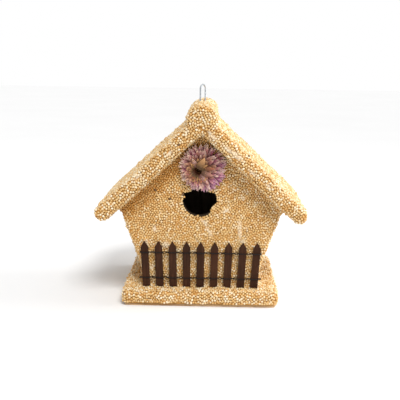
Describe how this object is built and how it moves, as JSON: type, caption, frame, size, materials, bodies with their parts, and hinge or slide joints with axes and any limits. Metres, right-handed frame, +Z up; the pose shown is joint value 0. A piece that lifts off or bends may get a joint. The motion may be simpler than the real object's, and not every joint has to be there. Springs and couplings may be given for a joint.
{
  "type": "birdhouse",
  "caption": "Gabled wooden birdhouse coated in millet seed, with flared walls, ridge log, wire hanger, picket fence, dried flower and swivelling clean-out cover.",
  "frame": {"origin": "centre of the base's underside", "axes": "+Z up; the front, with the entry hole and the fence, faces -Y; +X to the right seen from the front; the ridge runs along Y"},
  "size_m": [0.204, 0.152, 0.2113],
  "materials": {
    "bare_pine": "bare sawn pine",
    "millet_seed": "glossy husked grains bound with clear edible glue",
    "stained_picket": "dark brown stain, matt",
    "black_wire": "black annealed",
    "bright_steel": "bright",
    "galvanised_wire": "galvanised",
    "galvanised_sheet": "galvanised, spangled",
    "dried_bracts": "papery, mauve pink fading to straw",
    "seed_head": "dark brown florets",
    "clear_glue": "set hot glue"
  },
  "bodies": {
    "house": {"base_board": "bare_pine", "front_wall": "bare_pine", "back_wall": "bare_pine", "left_side_wall": "bare_pine", "right_side_wall": "bare_pine", "left_roof_board": "bare_pine", "right_roof_board": "bare_pine", "ridge_log": "bare_pine", "base_seed_coat": "millet_seed", "front_seed_coat": "millet_seed", "back_seed_coat": "millet_seed", "left_side_seed_coat": "millet_seed", "right_side_seed_coat": "millet_seed", "left_roof_seed_coat": "millet_seed", "right_roof_seed_coat": "millet_seed", "ridge_seed_coat": "millet_seed", "picket_1": "stained_picket", "picket_2": "stained_picket", "picket_3": "stained_picket", "picket_4": "stained_picket", "picket_5": "stained_picket", "picket_6": "stained_picket", "picket_7": "stained_picket", "picket_8": "stained_picket", "picket_9": "stained_picket", "fence_wire_top_1": "black_wire", "fence_wire_top_2": "black_wire", "fence_wire_bottom_1": "black_wire", "fence_wire_bottom_2": "black_wire", "base_brad_1": "bright_steel", "base_brad_2": "bright_steel", "base_brad_3": "bright_steel", "base_brad_4": "bright_steel", "roof_brad_1": "bright_steel", "roof_brad_2": "bright_steel", "roof_brad_3": "bright_steel", "roof_brad_4": "bright_steel", "roof_brad_5": "bright_steel", "roof_brad_6": "bright_steel", "roof_brad_7": "bright_steel", "roof_brad_8": "bright_steel", "wall_brad_1": "bright_steel", "wall_brad_2": "bright_steel", "wall_brad_3": "bright_steel", "wall_brad_4": "bright_steel", "wall_brad_5": "bright_steel", "wall_brad_6": "bright_steel", "wall_brad_7": "bright_steel", "wall_brad_8": "bright_steel", "hanger_loop": "galvanised_wire", "clean_out_screw": "bright_steel", "flower_bracts": "dried_bracts", "flower_disc": "seed_head", "flower_glue": "clear_glue"},
    "cover": {"clean_out_cover": "galvanised_sheet"}
  },
  "joints": [
    {"name": "clean_out_swing", "type": "hinge", "parent": "house", "child": "cover", "pos_m": [0.003, 0, 0.0024], "axis": [0, 0, 1], "range_deg": [0, 180]}
  ]
}
